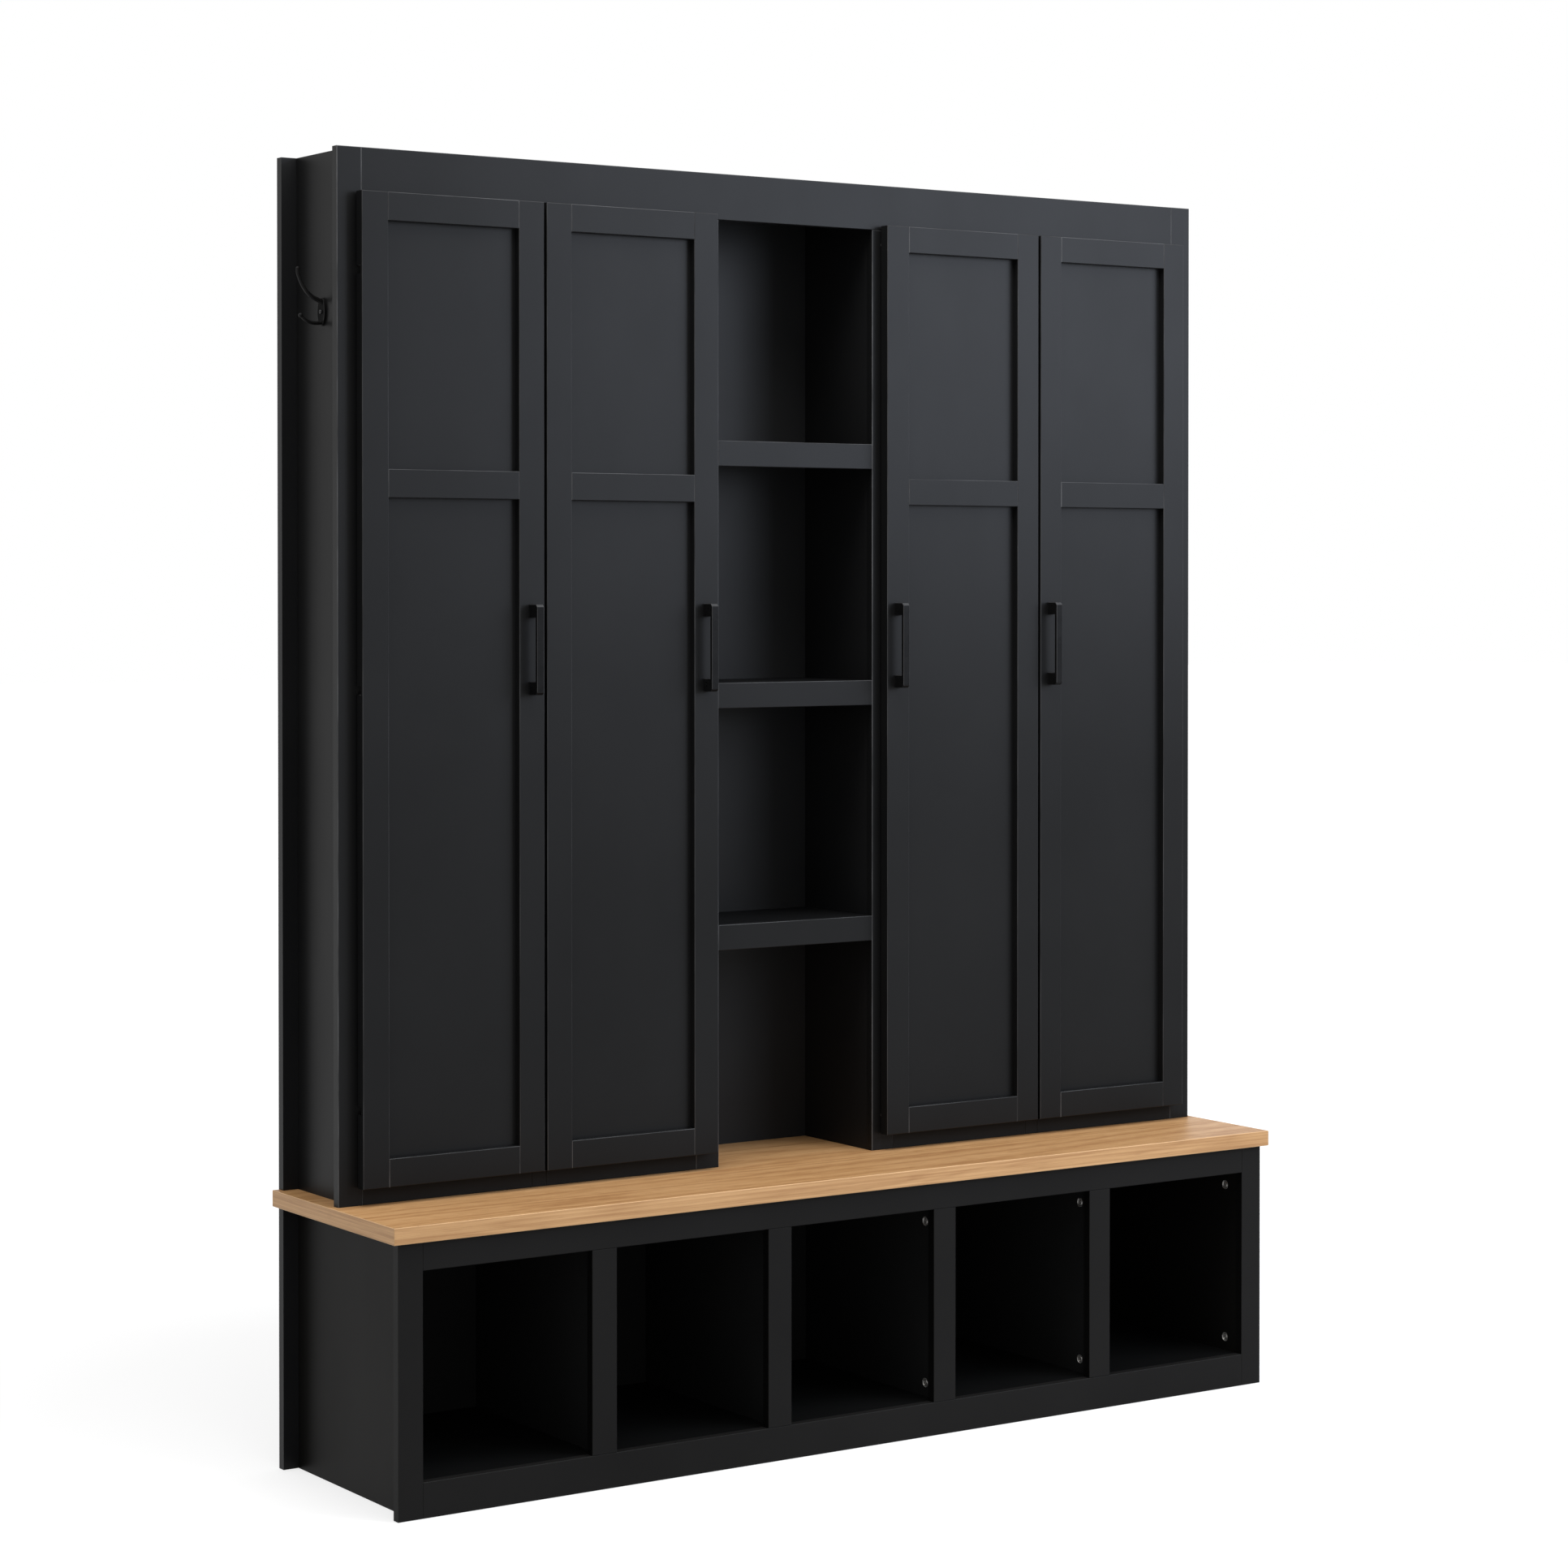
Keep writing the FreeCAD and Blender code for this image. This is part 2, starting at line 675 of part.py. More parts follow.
# Doors, modelled in the frame of their hinges with z counted from the floor

def groove_y():
    panel_back = door_panel_recess + door_panel_thickness
    return door_panel_recess - groove_side_clearance, panel_back + groove_side_clearance


def handle_screw_places():
    x = door_width - handle_edge_distance
    half = (handle_length - handle_post_length) / 2
    return [(x, handle_middle_height - half), (x, handle_middle_height + half)]


def hinge_stile():
    stile = eased(box(0, door_stile_width, 0, door_thickness, door_bottom, door_top))
    low, high = groove_y()
    stile = stile.cut(box(door_stile_width - door_groove_depth, door_stile_width, low, high,
                          door_bottom, door_top))
    for height in hinge_heights:
        recess = hinge_recess()
        recess.translate(vec(0, 0, height))
        stile = stile.cut(recess)
    return stile


def handle_stile():
    inner = door_width - door_stile_width
    stile = eased(box(inner, door_width, 0, door_thickness, door_bottom, door_top))
    low, high = groove_y()
    stile = stile.cut(box(inner, inner + door_groove_depth, low, high, door_bottom, door_top))
    for x, z in handle_screw_places():
        hole = rod(handle_screw_diameter / 2 + screw_clearance, vec(x, 0, z), vec(x, door_thickness, z))
        stile = stile.cut(hole)
    return stile


def door_rail(z0, z1, grooves):
    rail = eased(box(door_stile_width, door_width - door_stile_width, 0, door_thickness, z0, z1))
    tongue = door_groove_depth - groove_end_clearance
    rail = rail.fuse(box(door_stile_width - tongue, door_width - door_stile_width + tongue,
                         door_panel_recess, door_panel_recess + door_panel_thickness, z0, z1))
    low, high = groove_y()
    for g0, g1 in grooves:
        rail = rail.cut(box(0, door_width, low, high, g0, g1))
    return rail


def door_rails():
    depth = door_groove_depth
    top_low = door_top - door_rail_height
    bottom_high = door_bottom + door_rail_height
    return [
        door_rail(top_low, door_top, [(top_low, top_low + depth)]),
        door_rail(mid_rail_bottom, mid_rail_top,
                  [(mid_rail_bottom, mid_rail_bottom + depth), (mid_rail_top - depth, mid_rail_top)]),
        door_rail(door_bottom, bottom_high, [(bottom_high - depth, bottom_high)]),
    ]


def door_panels():
    bite = door_groove_depth - groove_end_clearance
    spans = [(mid_rail_top, door_top - door_rail_height), (door_bottom + door_rail_height, mid_rail_bottom)]
    x0 = door_stile_width - bite
    x1 = door_width - door_stile_width + bite
    return [box(x0, x1, door_panel_recess, door_panel_recess + door_panel_thickness, z0 - bite, z1 + bite)
            for z0, z1 in spans]


def door_handle():
    # A flat bar on two posts, cut from one profile seen from the side
    x = door_width - handle_edge_distance
    half = handle_length / 2
    front = -handle_projection
    inner = half - handle_post_length
    bar_back = front + handle_bar_thickness
    profile = [(0, half), (front + handle_end_bevel, half), (front, half - handle_end_bevel),
               (front, -half + handle_end_bevel), (front + handle_end_bevel, -half), (0, -half),
               (0, -inner), (bar_back, -inner), (bar_back, inner), (0, inner)]
    points = [vec(x - handle_width / 2, y, handle_middle_height + z) for y, z in profile]
    body = Part.Face(Part.makePolygon(points + points[:1])).extrude(vec(handle_width, 0, 0))
    body = eased(body, handle_side_bevel)
    for hole_x, z in handle_screw_places():
        hole = rod(handle_screw_diameter / 2 + hinge_running_fit, vec(hole_x, 0, z),
                   vec(hole_x, -handle_screw_depth - screw_clearance, z))
        body = body.cut(hole)
    return body


def handle_screws():
    screws = []
    for x, z in handle_screw_places():
        seat = vec(x, door_thickness, z)
        shank = rod(handle_screw_diameter / 2, vec(x, -handle_screw_depth, z), seat)
        head = rod(handle_screw_head_diameter / 2, seat, seat + vec(0, handle_screw_head_height, 0))
        screws.append(shank.fuse(head).removeSplitter())
    return screws


def make_doors():
    cup = hinge_cup()
    for number, edge, way in doors:
        name = "door_%d_" % number
        pieces = {
            "stiles": [hinge_stile(), handle_stile()],
            "rails": door_rails(),
            "panels": door_panels(),
            "handle": [door_handle()],
            "handle_screws": handle_screws(),
        }
        for piece, solids in pieces.items():
            save(name + piece, [on_door(solid, edge, way, 0) for solid in solids])
        save(name + "hinge_cups", [on_door(cup, edge, way, height) for height in hinge_heights])


make_bench()
make_back_stiles()
make_hutch_carcass()
make_hooks()
make_face_frame()
make_hinges()
make_doors()
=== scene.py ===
import bpy
import json
from math import radians, pi
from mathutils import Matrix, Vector


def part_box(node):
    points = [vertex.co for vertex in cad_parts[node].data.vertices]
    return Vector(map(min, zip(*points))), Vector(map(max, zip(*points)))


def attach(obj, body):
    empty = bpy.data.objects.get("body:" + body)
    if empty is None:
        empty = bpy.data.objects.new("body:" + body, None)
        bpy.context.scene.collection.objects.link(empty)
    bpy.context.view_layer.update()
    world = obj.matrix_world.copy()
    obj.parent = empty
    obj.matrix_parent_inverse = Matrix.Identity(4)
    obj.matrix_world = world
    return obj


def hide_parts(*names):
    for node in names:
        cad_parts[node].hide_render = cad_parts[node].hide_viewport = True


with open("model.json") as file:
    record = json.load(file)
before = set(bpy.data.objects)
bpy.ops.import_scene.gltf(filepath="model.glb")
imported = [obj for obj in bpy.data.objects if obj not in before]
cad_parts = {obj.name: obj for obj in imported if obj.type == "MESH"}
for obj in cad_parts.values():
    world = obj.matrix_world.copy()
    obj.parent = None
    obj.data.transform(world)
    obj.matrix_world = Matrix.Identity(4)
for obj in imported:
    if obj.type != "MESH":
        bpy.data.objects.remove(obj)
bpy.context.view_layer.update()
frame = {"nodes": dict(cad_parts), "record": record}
nodes = frame["nodes"]
scene = bpy.context.scene
scene.view_settings.view_transform = 'Standard'
print("frame loaded:", len(nodes), "nodes")

doorNumbers = (1, 2, 3, 4)
sharpAngle = radians(25)
# a face or edge counts as square to an axis from this share of its direction on
squareShare = 0.9
samePlace = 1e-5


# small helpers for modelling

def deselectAll():
    if bpy.context.mode != 'OBJECT':
        bpy.ops.object.mode_set(mode='OBJECT')
    bpy.ops.object.select_all(action='DESELECT')


def makeActive(obj):
    deselectAll()
    obj.select_set(True)
    bpy.context.view_layer.objects.active = obj


def settle(obj):
    # place and size go into the mesh
    makeActive(obj)
    bpy.ops.object.transform_apply(location=True, rotation=True, scale=True)


def pick(obj, kind, test):
    # edit mode with only the faces, edges or points that pass the test selected
    makeActive(obj)
    bpy.ops.object.mode_set(mode='EDIT')
    bpy.ops.mesh.select_mode(type=kind)
    bpy.ops.mesh.select_all(action='DESELECT')
    bpy.ops.object.mode_set(mode='OBJECT')
    mesh = obj.data
    parts = {'FACE': mesh.polygons, 'EDGE': mesh.edges, 'VERT': mesh.vertices}[kind]
    for part in parts:
        part.select = bool(test(part))
    bpy.ops.object.mode_set(mode='EDIT')


def edgeMiddle(obj, edge):
    a, b = (obj.data.vertices[i].co for i in edge.vertices)
    return (a + b) / 2


def edgeLine(obj, edge):
    a, b = (obj.data.vertices[i].co for i in edge.vertices)
    return (b - a).normalized()


def applyAll(obj):
    makeActive(obj)
    for name in [m.name for m in obj.modifiers]:
        bpy.ops.object.modifier_apply(modifier=name)


def roundEdges(obj, width, segments):
    # rounds every sharp edge
    makeActive(obj)
    bevel = obj.modifiers.new("round", 'BEVEL')
    bevel.width = width
    bevel.segments = segments
    bevel.limit_method = 'ANGLE'
    bevel.angle_limit = sharpAngle
    applyAll(obj)


def softEdges(obj, width, segments):
    # rounded edges, with the flat faces kept flat in the shading
    roundEdges(obj, width, segments)
    bpy.ops.object.shade_smooth()
    weighted = obj.modifiers.new("flatFaces", 'WEIGHTED_NORMAL')
    weighted.keep_sharp = False
    applyAll(obj)


def combine(obj, other, way):
    # cuts the other piece out of this one, or fuses it with it
    makeActive(obj)
    work = obj.modifiers.new("combine", 'BOOLEAN')
    work.operation = way
    work.solver = 'EXACT'
    work.object = other
    applyAll(obj)
    bpy.data.objects.remove(other)


def cleanSmooth(obj, weld, angle):
    # welds the points, turns the faces outward and shades smooth below the angle
    pick(obj, 'VERT', lambda v: True)
    bpy.ops.mesh.remove_doubles(threshold=weld)
    bpy.ops.mesh.normals_make_consistent(inside=False)
    makeActive(obj)
    bpy.ops.object.shade_smooth_by_angle(angle=radians(angle))


def copyOf(obj, name):
    twin = obj.copy()
    twin.data = obj.data.copy()
    twin.name = name
    twin.data.name = name
    scene.collection.objects.link(twin)
    return twin


def joined(objs, name):
    deselectAll()
    for obj in objs:
        obj.select_set(True)
    bpy.context.view_layer.objects.active = objs[0]
    bpy.ops.object.join()
    objs[0].name = name
    objs[0].data.name = name
    return objs[0]


def paint(obj, *mats):
    obj.data.materials.clear()
    for mat in mats:
        obj.data.materials.append(mat)


def standFor(obj, body, slotName, *nodeNames):
    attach(obj, body)
    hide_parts(*nodeNames)


# small helpers for node trees

def startMaterial(name):
    mat = bpy.data.materials.new(name)
    mat.use_nodes = True
    tree = mat.node_tree
    shader = tree.nodes["Principled BSDF"]
    coord = tree.nodes.new("ShaderNodeTexCoord")
    return mat, tree, shader, coord.outputs["Object"]


def mapped(tree, vector, scale=(1, 1, 1), turn=(0, 0, 0), shift=(0, 0, 0)):
    node = tree.nodes.new("ShaderNodeMapping")
    node.inputs["Scale"].default_value = scale
    node.inputs["Rotation"].default_value = [radians(a) for a in turn]
    node.inputs["Location"].default_value = shift
    tree.links.new(vector, node.inputs["Vector"])
    return node.outputs["Vector"]


def noise(tree, vector, scale, detail=2.0, rough=0.5, twist=0.0):
    node = tree.nodes.new("ShaderNodeTexNoise")
    node.inputs["Scale"].default_value = scale
    node.inputs["Detail"].default_value = detail
    node.inputs["Roughness"].default_value = rough
    node.inputs["Distortion"].default_value = twist
    tree.links.new(vector, node.inputs["Vector"])
    return node.outputs["Fac"]


def ramp(tree, value, stops):
    node = tree.nodes.new("ShaderNodeValToRGB")
    bar = node.color_ramp.elements
    while len(bar) < len(stops):
        bar.new(0.5)
    for mark, (place, colour) in zip(bar, stops):
        mark.position = place
        mark.color = (*colour, 1.0)
    tree.links.new(value, node.inputs["Fac"])
    return node.outputs["Color"]


def spread(tree, value, low, high, fromLow=0.0, fromHigh=1.0):
    node = tree.nodes.new("ShaderNodeMapRange")
    node.inputs["From Min"].default_value = fromLow
    node.inputs["From Max"].default_value = fromHigh
    node.inputs["To Min"].default_value = low
    node.inputs["To Max"].default_value = high
    tree.links.new(value, node.inputs["Value"])
    return node.outputs["Result"]


def sums(tree, operation, a, b):
    node = tree.nodes.new("ShaderNodeMath")
    node.operation = operation
    for socket, value in zip(node.inputs, (a, b)):
        if isinstance(value, (int, float)):
            socket.default_value = value
        else:
            tree.links.new(value, socket)
    return node.outputs["Value"]


def mixed(tree, share, a, b):
    node = tree.nodes.new("ShaderNodeMix")
    node.data_type = 'RGBA'
    for socket, value in zip((node.inputs[0], node.inputs[6], node.inputs[7]), (share, a, b)):
        if isinstance(value, (int, float)):
            socket.default_value = value
        elif isinstance(value, tuple):
            socket.default_value = (*value, 1.0)
        else:
            tree.links.new(value, socket)
    return node.outputs[2]


def bumped(tree, shader, height, strength, depth):
    node = tree.nodes.new("ShaderNodeBump")
    node.inputs["Strength"].default_value = strength
    node.inputs["Distance"].default_value = depth
    tree.links.new(height, node.inputs["Height"])
    earlier = shader.inputs["Normal"].links
    if earlier:
        tree.links.new(earlier[0].from_socket, node.inputs["Normal"])
    tree.links.new(node.outputs["Normal"], shader.inputs["Normal"])


# where the masks begin and end, as parts of the normal
maskLimits = {"edge": (0.80, 0.97), "below": (-0.6, -0.2), "above": (0.2, 0.6), "side": (0.90, 0.99)}
# share of the painted edge highlight and wear kept on edges that face up
rubbedAbove = 0.5


def facing(tree, place):
    # the three parts of the normal in the piece's own directions
    parts = tree.nodes.new("ShaderNodeSeparateXYZ")
    tree.links.new(place.node.outputs["Normal"], parts.inputs[0])
    return parts.outputs


def edgeMask(tree, place):
    # 0 on flat faces, 1 on the eased edges, whose normals lie between the axes
    x, y, z = (sums(tree, 'ABSOLUTE', part, 0) for part in facing(tree, place))
    most = sums(tree, 'MAXIMUM', sums(tree, 'MAXIMUM', x, y), z)
    return spread(tree, most, 1.0, 0.0, *maskLimits["edge"])


def wearAndHighlightShare(tree, place):
    # 1 on upright edges, less on what faces up, 0 on what faces down: the share of painted edge highlight
    # and wear, lower where the top lamp already lights the edges, none on undersides that hands and cloths
    # don't reach
    upward = facing(tree, place)[2]
    below = spread(tree, upward, 0.0, 1.0, *maskLimits["below"])
    above = spread(tree, upward, 1.0, rubbedAbove, *maskLimits["above"])
    return sums(tree, 'MULTIPLY', below, above)


def sideShadeMask(tree, place):
    # 1 on what faces left or right
    return spread(tree, sums(tree, 'ABSOLUTE', facing(tree, place)[0], 0), 0.0, 1.0, *maskLimits["side"])


# black paint: satin on frames and doors, duller on the boards behind them

framePaint = {
    "deep": (0.0066, 0.0067, 0.0069), "thin": (0.0088, 0.0089, 0.0091), "cloudSize": 3.2, "sideShadeShare": 1.0,
    # the paler edge colour below is a painted highlight, mixed with wear
    "rubbed": (0.130, 0.131, 0.134), "leastWearAndHighlight": 0.35, "patchSize": 9.0,
    "gloss": 0.10, "roughLow": 0.34, "roughHigh": 0.40, "smearSize": 7.0, "smearStretch": 0.35,
    "peelSize": 520.0, "peelDepth": 0.00025, "peelStrength": 0.10,
}


def paintedBoard(name, look):
    mat, tree, shader, place = startMaterial(name)
    clouds = noise(tree, place, look["cloudSize"], detail=4.0, rough=0.55)
    colour = ramp(tree, clouds, [(0.32, look["deep"]), (0.68, look["thin"])])
    if look["sideShadeShare"] < 1.0:
        # faces turned to the left or right are set darker: painted shade on the narrow sides of the pieces
        sides = sums(tree, 'MULTIPLY', sideShadeMask(tree, place), 1.0 - look["sideShadeShare"])
        colour = mixed(tree, sides, colour, (0.0, 0.0, 0.0))
    # a paler line on the eased edges: painted highlight where they catch the light, together with paint
    # worn thin, more in some places than in others
    patches = noise(tree, place, look["patchSize"], detail=3.0, rough=0.6)
    patchy = spread(tree, patches, look["leastWearAndHighlight"], 1.0, fromLow=0.36, fromHigh=0.64)
    rub = sums(tree, 'MULTIPLY', edgeMask(tree, place), patchy)
    rub = sums(tree, 'MULTIPLY', rub, wearAndHighlightShare(tree, place))
    tree.links.new(mixed(tree, rub, colour, look["rubbed"]), shader.inputs["Base Color"])
    upright = mapped(tree, place, (1.0, 1.0, look["smearStretch"]))
    smears = noise(tree, upright, look["smearSize"], detail=5.0, rough=0.6)
    rough = spread(tree, smears, look["roughLow"], look["roughHigh"], fromLow=0.3, fromHigh=0.7)
    tree.links.new(rough, shader.inputs["Roughness"])
    shader.inputs["Specular IOR Level"].default_value = look["gloss"]
    peel = noise(tree, place, look["peelSize"])
    bumped(tree, shader, peel, look["peelStrength"], look["peelDepth"])
    return mat


boardPaint = dict(framePaint, deep=(0.0185, 0.0186, 0.0188), thin=(0.0225, 0.0226, 0.0229),
                  rubbed=(0.045, 0.045, 0.046), gloss=0.045, roughLow=0.46, roughHigh=0.56, peelSize=420.0)
backPaint = dict(framePaint, deep=(0.0150, 0.0152, 0.0157), thin=(0.0185, 0.0187, 0.0193),
                 rubbed=(0.045, 0.045, 0.046), gloss=0.10, peelSize=340.0, peelDepth=0.0003)
# sides and back stiles are satin, so that the sides mirror the stiles near the corner
sidePaint = dict(boardPaint, deep=(0.0072, 0.0072, 0.0073), thin=(0.0092, 0.0092, 0.0093), gloss=0.092,
                 roughLow=0.36, roughHigh=0.42)
# the back stiles are set lighter than the sides: painted light for the fill light from the left front
litBackStilePaint = dict(sidePaint, deep=(0.0108, 0.0110, 0.0115), thin=(0.0132, 0.0134, 0.0140))
# the partitions and shelves of the centre bay are set darker than the back behind them: painted shade
# inside the bay
shadedPartitionPaint = dict(backPaint, deep=(0.0105, 0.0106, 0.0110), thin=(0.0130, 0.0131, 0.0135), gloss=0.07)
shadedShelfPaint = dict(boardPaint, deep=(0.0052, 0.0053, 0.0055), thin=(0.0068, 0.0069, 0.0071), gloss=0.02)
# the door stiles get a fainter painted edge highlight and less wear than the rails
stilePaint = dict(framePaint, rubbed=(0.060, 0.060, 0.061))
# on the bench the painted edge highlight is faint; its stile sides, side panels, insides and floor are set
# darker: painted shade
benchPaint = dict(framePaint, deep=(0.0104, 0.0100, 0.0096), thin=(0.0126, 0.0121, 0.0116),
                  rubbed=(0.020, 0.020, 0.019), gloss=0.05, sideShadeShare=0.35)
shadedBenchSidePaint = dict(boardPaint, deep=(0.0054, 0.0052, 0.0048), thin=(0.0070, 0.0067, 0.0062),
                       gloss=0.041, roughLow=0.36, roughHigh=0.42)
shadedBenchInsidePaint = dict(boardPaint, deep=(0.0122, 0.0124, 0.0124), thin=(0.0150, 0.0153, 0.0153),
                        gloss=0.03)
shadedBenchFloorPaint = dict(shadedBenchInsidePaint, deep=(0.0036, 0.0037, 0.0037), thin=(0.0048, 0.0049, 0.0049),
                       gloss=0.02)

satinBlack = paintedBoard("satinBlackPaint", framePaint)
stileBlack = paintedBoard("satinBlackStile", stilePaint)
shelfBlack = paintedBoard("dullBlackShelf", shadedShelfPaint)
benchBlack = paintedBoard("satinBlackBench", benchPaint)
benchBoard = paintedBoard("mattBlackBenchSide", shadedBenchSidePaint)
benchInside = paintedBoard("mattBlackBenchInside", shadedBenchInsidePaint)
benchFloor = paintedBoard("mattBlackBenchFloor", shadedBenchFloorPaint)
mattBlack = paintedBoard("mattBlackBoard", boardPaint)
sideBlack = paintedBoard("satinBlackSide", sidePaint)
backStileBlack = paintedBoard("satinBlackBackStile", litBackStilePaint)
backBlack = paintedBoard("blackBackBoard", backPaint)
partitionBlack = paintedBoard("blackPartition", shadedPartitionPaint)
print("paint ready")


# oak of the seat

oakLook = {
    "pale": (0.556, 0.321, 0.145), "middle": (0.467, 0.253, 0.105), "dark": (0.331, 0.160, 0.059),
    # the edge colour and its share make a painted highlight on the rounded edges
    "pore": (0.215, 0.098, 0.034), "edge": (0.700, 0.470, 0.250), "edgeHighlightShare": 0.7,
    # each layer of the grain: how fine it is, how far drawn out along the board, how much it counts
    "figureSize": 7.0, "figureStretch": 0.055, "rings": 30.0, "ringPower": 1.7, "ringShare": 0.28,
    "fleckSize": 85.0, "fleckStretch": 0.22, "fleckShare": 0.60,
    "streakSize": 230.0, "streakStretch": 0.07, "streakShare": 0.38,
    "fibreSize": 800.0, "fibreStretch": 0.012, "fibreShare": 0.40, "fibreBump": (0.12, 0.0002),
    "tintSize": 5.0, "tintStretch": 0.25, "tintShare": 0.20,
    "poreSize": 900.0, "poreStretch": 0.035, "poreShare": 0.75, "poreBump": (0.25, 0.00025),
    "turn": 0, "shift": (0.0, 0.0, 0.0), "roughLow": 0.35, "roughHigh": 0.47, "gloss": 0.28,
}


def oak(name, look):
    # the grain runs along X before the turn
    mat, tree, shader, place = startMaterial(name)
    lay = mapped(tree, place, turn=(0, 0, look["turn"]), shift=look["shift"])

    def layer(kind, detail, rough, twist=0.0):
        drawnOut = mapped(tree, lay, (look[kind + "Stretch"], 1, 1))
        return noise(tree, drawnOut, look[kind + "Size"], detail, rough, twist)

    # year rings are level lines of a long drawn field
    field = layer("figure", detail=2.0, rough=0.4, twist=0.3)
    ring = sums(tree, 'PINGPONG', sums(tree, 'MULTIPLY', field, look["rings"]), 1.0)
    ring = sums(tree, 'POWER', ring, look["ringPower"])
    fibres = layer("fibre", detail=3.0, rough=0.65)
    layers = {
        "ring": ring, "fleck": layer("fleck", detail=4.0, rough=0.65, twist=0.4),
        "streak": layer("streak", detail=3.0, rough=0.6), "fibre": fibres,
        "tint": layer("tint", detail=2.0, rough=0.5),
    }
    whole = sum(look[kind + "Share"] for kind in layers)
    grain = 0.0
    for kind, height in layers.items():
        grain = sums(tree, 'ADD', grain, sums(tree, 'MULTIPLY', height, look[kind + "Share"] / whole))
    colour = ramp(tree, grain, [(0.35, look["pale"]), (0.48, look["middle"]), (0.62, look["dark"])])
    # open pores as short dark dashes along the grain
    dashes = layer("pore", detail=1.0, rough=0.4)
    pores = spread(tree, dashes, 0.0, look["poreShare"], fromLow=0.62, fromHigh=0.74)
    colour = mixed(tree, pores, colour, look["pore"])
    # the rounded edges are set paler: a painted highlight along them
    wearAndEdgeLight = sums(tree, 'MULTIPLY', edgeMask(tree, place), look["edgeHighlightShare"])
    tree.links.new(mixed(tree, wearAndEdgeLight, colour, look["edge"]), shader.inputs["Base Color"])
    rough = spread(tree, grain, look["roughLow"], look["roughHigh"], fromLow=0.28, fromHigh=0.68)
    tree.links.new(rough, shader.inputs["Roughness"])
    shader.inputs["Specular IOR Level"].default_value = look["gloss"]
    bumped(tree, shader, fibres, *look["fibreBump"])
    bumped(tree, shader, sums(tree, 'SUBTRACT', 1.0, pores), *look["poreBump"])
    return mat


# the edge bands are paler, with fine straight lines
bandLook = dict(oakLook, pale=(0.680, 0.402, 0.188), middle=(0.545, 0.306, 0.134),
                dark=(0.395, 0.200, 0.080), figureSize=26.0, rings=20.0, ringShare=0.12, fleckShare=0.12,
                streakShare=0.70, streakStretch=0.010, fibreShare=0.60, fibreStretch=0.006,
                poreShare=0.22, shift=(3.1, 2.17, 0.93))
oakFace = oak("oakSeatFace", oakLook)
oakFront = oak("oakLongBand", bandLook)
oakEnd = oak("oakEndBand", dict(bandLook, turn=90, shift=(5.7, 3.99, 1.71)))
print("oak ready")


# metals and pads

metalLooks = {
    # the handle's edge colour is a painted glint on its eased edges and bevelled ends
    "handleBlack": {"colour": (0.0048, 0.0048, 0.0050), "wearAndEdgeLight": (0.0080, 0.0080, 0.0082), "metal": 0.0,
                    "rough": 0.30, "gloss": 0.055, "speck": 1400.0, "depth": 0.00012,
                    "edge": (0.11, 0.11, 0.112)},
    "hookBlack": {"colour": (0.0065, 0.0065, 0.0067), "wearAndEdgeLight": (0.014, 0.0135, 0.013), "metal": 0.0,
                  "rough": 0.30, "gloss": 0.07, "speck": 900.0, "depth": 0.0003},
    # the dish finish is darker than the hook's: painted shade in the sunk face of the plate
    "shadedDishBlack": {"colour": (0.0040, 0.0040, 0.0042), "wearAndEdgeLight": (0.0065, 0.0065, 0.0066), "metal": 0.0,
                  "rough": 0.45, "gloss": 0.02, "speck": 900.0, "depth": 0.0003},
    "screwBlack": {"colour": (0.016, 0.016, 0.0165), "wearAndEdgeLight": (0.034, 0.034, 0.035), "metal": 0.0,
                   "rough": 0.28, "gloss": 0.30, "speck": 900.0, "depth": 0.0002},
    "brightZinc": {"colour": (0.46, 0.45, 0.43), "wearAndEdgeLight": (0.28, 0.27, 0.26), "metal": 0.75,
                   "rough": 0.42, "gloss": 0.5, "speck": 700.0, "depth": 0.0002},
    "nickelSteel": {"colour": (0.50, 0.49, 0.47), "wearAndEdgeLight": (0.36, 0.35, 0.34), "metal": 1.0,
                    "rough": 0.24, "gloss": 0.5, "speck": 1100.0, "depth": 0.0001},
    "softPad": {"colour": (0.070, 0.068, 0.066), "wearAndEdgeLight": (0.10, 0.098, 0.094), "metal": 0.0,
                "rough": 0.72, "gloss": 0.25, "speck": 1600.0, "depth": 0.0003},
}


# what all of them share
metalGrain = {"cloudSize": 45.0, "smearSize": 120.0, "smoother": 0.05, "rougher": 0.08,
              "edgeHighlightShare": 0.8, "speckStrength": 0.10}


def smallFinish(name):
    look = metalLooks[name]
    mat, tree, shader, place = startMaterial(name)
    cloud = noise(tree, place, metalGrain["cloudSize"], detail=4.0, rough=0.6)
    colour = ramp(tree, cloud, [(0.35, look["colour"]), (0.75, look["wearAndEdgeLight"])])
    # painted highlight on the eased edges and bevelled ends
    if "edge" in look:
        rub = sums(tree, 'MULTIPLY', edgeMask(tree, place), wearAndHighlightShare(tree, place))
        colour = mixed(tree, sums(tree, 'MULTIPLY', rub, metalGrain["edgeHighlightShare"]), colour, look["edge"])
    tree.links.new(colour, shader.inputs["Base Color"])
    smear = noise(tree, place, metalGrain["smearSize"], detail=3.0, rough=0.6)
    low, high = look["rough"] - metalGrain["smoother"], look["rough"] + metalGrain["rougher"]
    tree.links.new(spread(tree, smear, low, high, fromLow=0.3, fromHigh=0.7), shader.inputs["Roughness"])
    shader.inputs["Metallic"].default_value = look["metal"]
    shader.inputs["Specular IOR Level"].default_value = look["gloss"]
    bumped(tree, shader, noise(tree, place, look["speck"]), metalGrain["speckStrength"], look["depth"])
    return mat


metals = {name: smallFinish(name) for name in metalLooks}
print("metals ready")


# CAD boards keep their shape and get their finish

